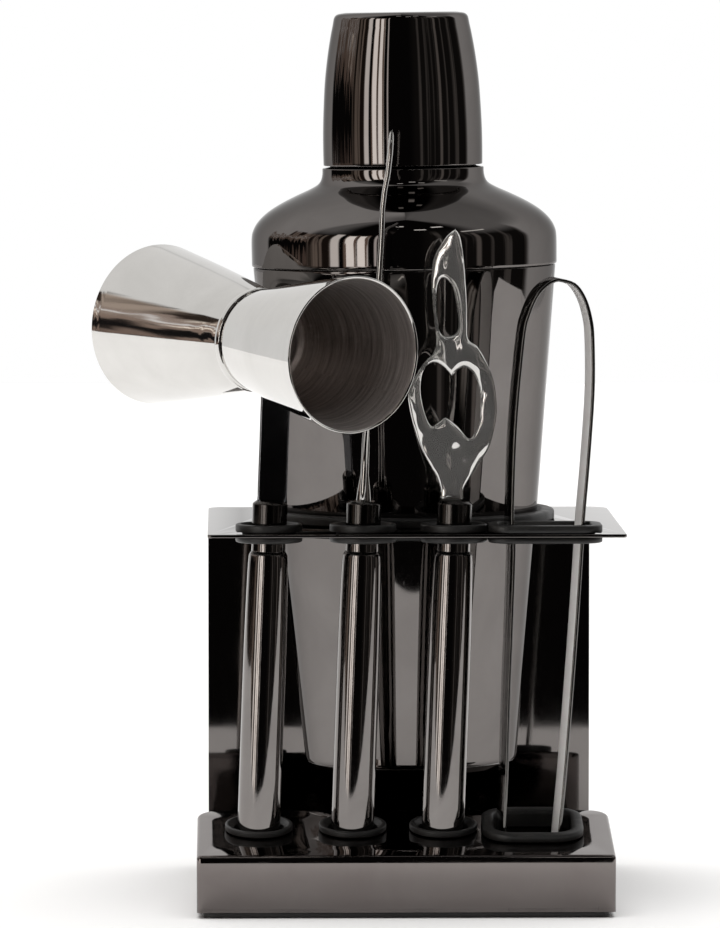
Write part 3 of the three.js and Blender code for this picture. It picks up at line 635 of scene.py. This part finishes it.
stem = catmull([(-3.7, 117.6), (3.7, 117.6), (4.25, 119.5), (4.25, 134), (4.25, 146), (3.9, 150.2), (0, 150.8), (-3.9, 150.2), (-4.25, 146), (-4.25, 134), (-4.25, 119.5)], 0.8)
pillow("measure_stem", stem, [], 0.8, 0.5, local(TM[0], lambda u, v, w: (u + .5, -w, v)), "jigger", M_STEM, ["jigger_stem"], 1.4)


def bend_at(z):
    return float(np.interp(z, [118, 134, 150, 166, 182, 194, 203, 208, 213, 219, 226], [-.5, -.2, .4, 1.1, 1.9, 2.2, 2.2, 2.6, 3.4, 3.9, 4.2]))


blade = [(-3.2, 117.9), (3.2, 117.9), (3.4, 130), (4.6, 140), (6.2, 150), (6.6, 165), (6.6, 182), (6.4, 196), (5.8, 206), (5.6, 214), (6.0, 220), (6.6, 225.6), (4.4, 222.6), (2.4, 216.6), (0.2, 220.6), (-1.2, 225.6), (-4.4, 219), (-6.4, 206), (-7.0, 190), (-7.0, 165), (-6.6, 150), (-4.6, 140), (-3.4, 130)]
bl = catmull([(u * .97, v) for u, v in blade], 0.9, sharp=(11, 15))
pillow("bar_blade", bl, [], 0.85, 1.3, local(TM[1], lambda u, v, w: (w * (1.0 if v < 200 else .9) + bend_at(v), u, v)), "knife", M_TOOL, ["knife_blade"], 1.6)
# round shank of the bar knife, seen as the wider part above the ferrule
shank = [(0, 118.0), (2.3, 118.0, .4), (2.0, 121, 1), (1.25, 126, 3), (1.2, 134, 4), (.9, 143, 4), (.4, 148, 1), (0, 148.4)]
lathe("bar_shank", shank, "knife", M_TOOL, TM[1] @ Matrix.Translation((-.1, 0, 0)), [], 48, n=6, angle=50)


def axx(k, z):
    return HB[k] + (z - 24) * math.tan(LEAN)


o_out = [(-2.76, 196.80), (-5.07, 194.68), (-7.07, 191.51), (-8.77, 187.83), (-9.11, 182.02), (-8.67, 176.79), (-7.90, 169.90), (-7.18, 165.17), (-7.58, 161.10), (-10.84, 157.24), (-13.10, 152.97), (-14.52, 148.79), (-14.11, 144.55), (-12.28, 138.21), (-9.43, 131.36), (-5.46, 124.50), (-4.18, 121.02), (-3.61, 118.11), (1.79, 118.11), (2.27, 121.02), (3.07, 123.05), (6.02, 128.19), (9.49, 134.52), (11.03, 142.45), (10.90, 147.74), (9.82, 153.55), (7.54, 158.81), (4.78, 163.02), (2.06, 165.17), (1.63, 169.90), (1.29, 176.21), (0.67, 182.02), (0.25, 185.73), (-0.44, 190.47), (-1.38, 194.68)]
o_slot = [(-5.71, 182.57), (-7.27, 180.85), (-7.50, 175.16), (-6.82, 169.90), (-5.92, 166.45), (-3.77, 165.66), (-1.42, 166.74), (-0.85, 169.35), (-1.48, 174.12), (-3.04, 180.27)]
o_win = [(-2.32, 154.33), (-4.52, 156.69), (-6.92, 158.02), (-9.28, 157.24), (-10.75, 154.60), (-11.15, 150.36), (-10.43, 145.62), (-8.97, 141.38), (-7.60, 139.55), (-6.03, 140.33), (-3.72, 142.34), (-0.20, 139.81), (3.09, 136.38), (4.87, 137.57), (6.16, 141.38), (6.41, 146.67), (5.72, 151.43), (3.99, 155.12), (1.57, 156.95), (-0.52, 156.16)]
pillow("opener_leaf", catmull(o_out, .55, sharp=(0,)), [catmull(o_slot, .5), catmull(o_win, .5, sharp=(0, 10))], 1.1, 2.1,
       local(TM[2], lambda u, v, w: (u, -w, v)), "opener", M_LEAF, ["opener_head"], 0.8)

# tongs: one strip, in two halves
TG = TM[3] @ Matrix.Rotation(0.14, 4, "Z")


def tl(p):
    return [(x - axx(3, z) - .87, z) for x, z in p]


left = tl([(29.4, 8.0), (28.9, 21.4), (29.6, 40), (30.2, 62), (31.0, 84), (31.6, 104.5), (31.1, 113.5), (32.0, 140), (34.25, 165), (35.9, 172.4), (38.6, 178.2), (42.2, 181.6), (44.6, 182.4)])
right = tl([(44.6, 182.4), (49.2, 181.2), (52.2, 177.2), (54.0, 171.4), (54.65, 165), (54.7, 150), (53.4, 130), (52.0, 113.5), (51.5, 104.5), (50.2, 84), (48.6, 62), (46.9, 40), (45.2, 21.4), (44.2, 8.0)])


def strip(name, pts, body, nodes, flip):
    P = catmull(pts, 1.1, closed=False)
    W, T = 11.2, 1.0
    sec = rrect(-T / 2, T / 2, -W / 2, W / 2, [.42] * 4, 4)
    bm = bmesh.new()
    uvl = bm.loops.layers.uv.new("UVMap")
    rows = []
    L = 0
    Ls = []
    for i, p in enumerate(P):
        a, b = P[max(0, i - 1)], P[min(len(P) - 1, i + 1)]
        t = (b - a).normalized()
        nrm = Vector((t.y, -t.x))
        if i:
            L += (p - P[i - 1]).length
        Ls.append(L)
        z = p.y
        w = 1.0
        if z < 14:
            w = 0.72 + 0.28 * math.sin(min(1, (z - 8) / 6 + .15) * math.pi / 2)
        row = []
        for (s, y) in sec:
            q = p + nrm * s
            row.append(bm.verts.new(TG @ Vector((q.x, y * w, q.y))))
        rows.append(row)
    for i in range(len(rows) - 1):
        for k in range(len(sec)):
            k2 = (k + 1) % len(sec)
            f = bm.faces.new((rows[i][k], rows[i][k2], rows[i + 1][k2], rows[i + 1][k]))
            # the broad face on this side gets the painted-reflection white material (index 1)
            if sec[k][0] > T / 2 - .02 and sec[k2][0] > T / 2 - .02:
                f.material_index = 1
            for l, (kk, ii) in zip(f.loops, ((k, i), (k + 1, i), (k + 1, i + 1), (k, i + 1))):
                l[uvl].uv = (kk * 24.0 / len(sec), Ls[ii])
    bm.faces.new(rows[0]); bm.faces.new(rows[-1][::-1])
    bmesh.ops.scale(bm, vec=(MM, MM, MM), verts=bm.verts)
    ob = finish_mesh(name, bm, None, [M_TONGS, M_TONGS_PAINTED_REFLECTION], nodes, 50)
    return ob


sl = strip("tongs_strip_left", left, "tongs", ["tongs_arm_left", "tongs_arch"], 1)
sr = strip("tongs_strip_right", right, "tongs", ["tongs_arm_right"], -1)
for ob, b, x in ((sl, "tongs_left", .0334), (sr, "tongs_right", .0537)):
    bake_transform(ob)

# ---------------------------------------------------------------- kept nodes
for n in ("back_plate",):
    NODES[n].data.materials.clear(); NODES[n].data.materials.append(M_SHEET)
for n in ("base_pad", "tool_rest_pad"):
    NODES[n].data.materials.clear(); NODES[n].data.materials.append(M_PAD)
for n in NODES:
    if "screw" in n or "nut" in n or "standoff" in n:
        NODES[n].data.materials.clear(); NODES[n].data.materials.append(M_SHEET if n.startswith("rack_screw") else M_PLAIN)

# ---------------------------------------------------------------- floor
fm, nt, p = new_mat("pale_table")
ob_ = coords(nt, "Object")
nt.links.new(ramp(nt, noise(nt, ob_, 3.0, 3, .5), (0.84, 0.835, 0.83), (0.87, 0.865, 0.86)), p.inputs["Base Color"])
p.inputs["Roughness"].default_value = 0.8
p.inputs["Specular IOR Level"].default_value = 0.15
bm = bmesh.new()
bmesh.ops.create_grid(bm, x_segments=40, y_segments=40, size=1.0)
for v in bm.verts:
    v.co = Vector((v.co.x * 1.3, -0.33 + (v.co.y + 1) * 1.5, -0.00015))
me = bpy.data.meshes.new("floor"); bm.to_mesh(me); bm.free()
floor = bpy.data.objects.new("floor", me)
scene.collection.objects.link(floor)
me.materials.append(fm)

# ---------------------------------------------------------------- studio surround
w = bpy.data.worlds.new("studio")
scene.world = w
w.use_nodes = True
nt = w.node_tree
nt.nodes.clear()
tc = nt.nodes.new("ShaderNodeTexCoord")
sep = nt.nodes.new("ShaderNodeSeparateXYZ")
nt.links.new(tc.outputs["Generated"], sep.inputs[0])
X, Y, Z = sep.outputs
neg = math_(nt, "MULTIPLY", Y, -1.0)
az = math_(nt, "MULTIPLY", math_(nt, "ARCTAN2", X, neg), 180 / math.pi)
el = math_(nt, "MULTIPLY", math_(nt, "ARCSINE", Z, 0.0), 180 / math.pi)
absaz = math_(nt, "ABSOLUTE", az, 0.0)


def window(a0, a1, e0, e1, sa=1.5, se=1.5, var=None):
    v = az if var is None else var
    m = math_(nt, "MULTIPLY", remap(nt, v, a0 - sa, a0 + sa, 0, 1), remap(nt, v, a1 - sa, a1 + sa, 1, 0))
    m2 = math_(nt, "MULTIPLY", remap(nt, el, e0 - se, e0 + se, 0, 1), remap(nt, el, e1 - se, e1 + se, 1, 0))
    return math_(nt, "MULTIPLY", m, m2)


def plus(c, mask, rgb):
    v = nt.nodes.new("ShaderNodeMix")
    v.data_type = "RGBA"
    v.blend_type = "MIX"
    nt.links.new(mask, v.inputs[0])
    if c is None:
        v.inputs[6].default_value = (0, 0, 0, 1)
    elif isinstance(c, tuple):
        v.inputs[6].default_value = (*c, 1)
    else:
        nt.links.new(c, v.inputs[6])
    v.inputs[7].default_value = (*rgb, 1)
    return v.outputs[2]


def streaks(freq, offset, detail=3.0, lo=0.42, hi=0.62):
    n = nt.nodes.new("ShaderNodeTexNoise")
    n.noise_dimensions = "2D"
    cx = nt.nodes.new("ShaderNodeCombineXYZ")
    nt.links.new(math_(nt, "ADD", math_(nt, "MULTIPLY", az, freq), offset), cx.inputs[0])
    nt.links.new(math_(nt, "MULTIPLY", el, freq * .06), cx.inputs[1])
    n.inputs["Scale"].default_value = 1.0
    n.inputs["Detail"].default_value = detail
    n.inputs["Roughness"].default_value = 0.6
    nt.links.new(cx.outputs[0], n.inputs["Vector"])
    return remap(nt, n.outputs[0], lo, hi, 0, 1)


def cut(mask, s):
    return math_(nt, "MULTIPLY", mask, s)


jag = streaks(.45, 7.0, 6, .3, .7)
elj = math_(nt, "SUBTRACT", el, math_(nt, "MULTIPLY", jag, 7.0))


def band(a0, a1, e0, e1, sa=2, se=.8):
    m = math_(nt, "MULTIPLY", remap(nt, az, a0 - sa, a0 + sa, 0, 1), remap(nt, az, a1 - sa, a1 + sa, 1, 0))
    m2 = math_(nt, "MULTIPLY", remap(nt, elj, e0 - se, e0 + se, 0, 1), remap(nt, elj, e1 - se, e1 + se, 1, 0))
    return math_(nt, "MULTIPLY", m, m2)


env = (0.008, 0.007, 0.007)
env = plus(env, window(14, 104, -40, 48, 6, 9), (0.020, 0.018, 0.017))  # dim room on the right
env = plus(env, cut(window(16, 104, -40, 42, 5, 8), streaks(.09, 3.0, 3, .5, .66)), (0.17, 0.155, 0.145))
env = plus(env, window(55, 59, -30, 34, 1.0, 3.0), (0.30, 0.27, 0.25))
env = plus(env, window(60, 181, 36, 92, 14, 10, absaz), (0.40, 0.395, 0.39))  # pale ceiling at the back
env = plus(env, window(106, 181, -90, 42, 3.0, 8, absaz), (0.86, 0.855, 0.85))  # white paper behind
env = plus(env, window(-181, -84, 14, 80, 6, 6), (0.86, 0.85, 0.84))  # soft light high on the left
env = plus(env, window(-104, -60, -6, 30, 1.5, 2.0), (0.46, 0.37, 0.31))  # warm room and window
env = plus(env, cut(window(-104, -60, -8, 32, 1.0, 1.0), streaks(.12, 11.0, 4, .44, .56)), (0.035, 0.025, 0.020))
env = plus(env, window(-92, -84, 7, 22, 1.0, 2.0), (1.3, 1.15, 1.0))
env = plus(env, window(-59, -52, -6, 34, 1.0, 2.0), (2.3, 2.2, 2.1))
env = plus(env, window(-47, -29, -6, 28, 1.0, 2.0), (3.3, 3.15, 3.0))
env = plus(env, cut(window(-48, -28, -8, 32, 1.0, 1.0), streaks(.22, 21.0, 3, .55, .62)), (0.45, 0.32, 0.25))
env = plus(env, window(-24.0, -22.0, -6, 34, 0.6, 2.0), (1.5, 1.4, 1.35))
env = plus(env, window(-38, -37, -6, 30, 0.5, 2.0), (0.05, 0.04, 0.03))
# jagged skyline low on the left, for the polished measure
env = plus(env, band(-126, -80, 8.0, 16.0), (0.36, 0.28, 0.24))
env = plus(env, band(-126, -80, 10.5, 12.4, 2, .4), (0.85, 0.82, 0.80))
env = plus(env, band(-126, -80, 2.0, 6.5), (0.30, 0.22, 0.18))
env = plus(env, band(-126, -80, -7.5, 2.0), (0.010, 0.009, 0.009))
env = plus(env, band(-126, -80, -12.0, -7.5, 2, 2), (0.24, 0.17, 0.14))
env = plus(env, window(8, 20, 52, 54.5, 1, .8), (3.5, 3.5, 3.4))  # ceiling tubes
env = plus(env, window(30, 44, 60, 63, 1, .8), (3.0, 3.0, 2.9))
env = plus(env, window(-18, -4, 66, 69, 1, .8), (3.0, 3.0, 2.9))
env = plus(env, window(50, 74, 40, 42, 1, .8), (2.2, 2.2, 2.1))
cam_bg = nt.nodes.new("ShaderNodeBackground"); cam_bg.inputs[0].default_value = (1.0, 1.0, 1.0, 1)
env_bg = nt.nodes.new("ShaderNodeBackground")
nt.links.new(env, env_bg.inputs[0])
lp = nt.nodes.new("ShaderNodeLightPath")
mx = nt.nodes.new("ShaderNodeMixShader")
nt.links.new(lp.outputs["Is Camera Ray"], mx.inputs[0])
nt.links.new(env_bg.outputs[0], mx.inputs[1])
nt.links.new(cam_bg.outputs[0], mx.inputs[2])
wo = nt.nodes.new("ShaderNodeOutputWorld")
nt.links.new(mx.outputs[0], wo.inputs[0])

# soft overhead light for the floor and the rubber, hidden from reflections
ld = bpy.data.lights.new("overhead", "SUN")
ld.energy = 3.0
ld.angle = math.radians(70)
lo = bpy.data.objects.new("overhead", ld)
lo.rotation_euler = (math.radians(2), math.radians(-1), 0)
scene.collection.objects.link(lo)
lo.visible_glossy = False
lo.visible_camera = False

# ---------------------------------------------------------------- camera
cd = bpy.data.cameras.new("view")
cd.lens = 268.15
cd.sensor_width = 36
cd.sensor_fit = "AUTO"
cd.clip_start = 0.05
cd.clip_end = 50
co = bpy.data.objects.new("view", cd)
co.location = (-0.05236, -2.02682, 0.26425)
co.rotation_euler = (math.radians(90 - 3.8827), 0, math.radians(-1.1343))
scene.collection.objects.link(co)
scene.camera = co
scene.view_settings.view_transform = "Standard"
scene.view_settings.look = "None"
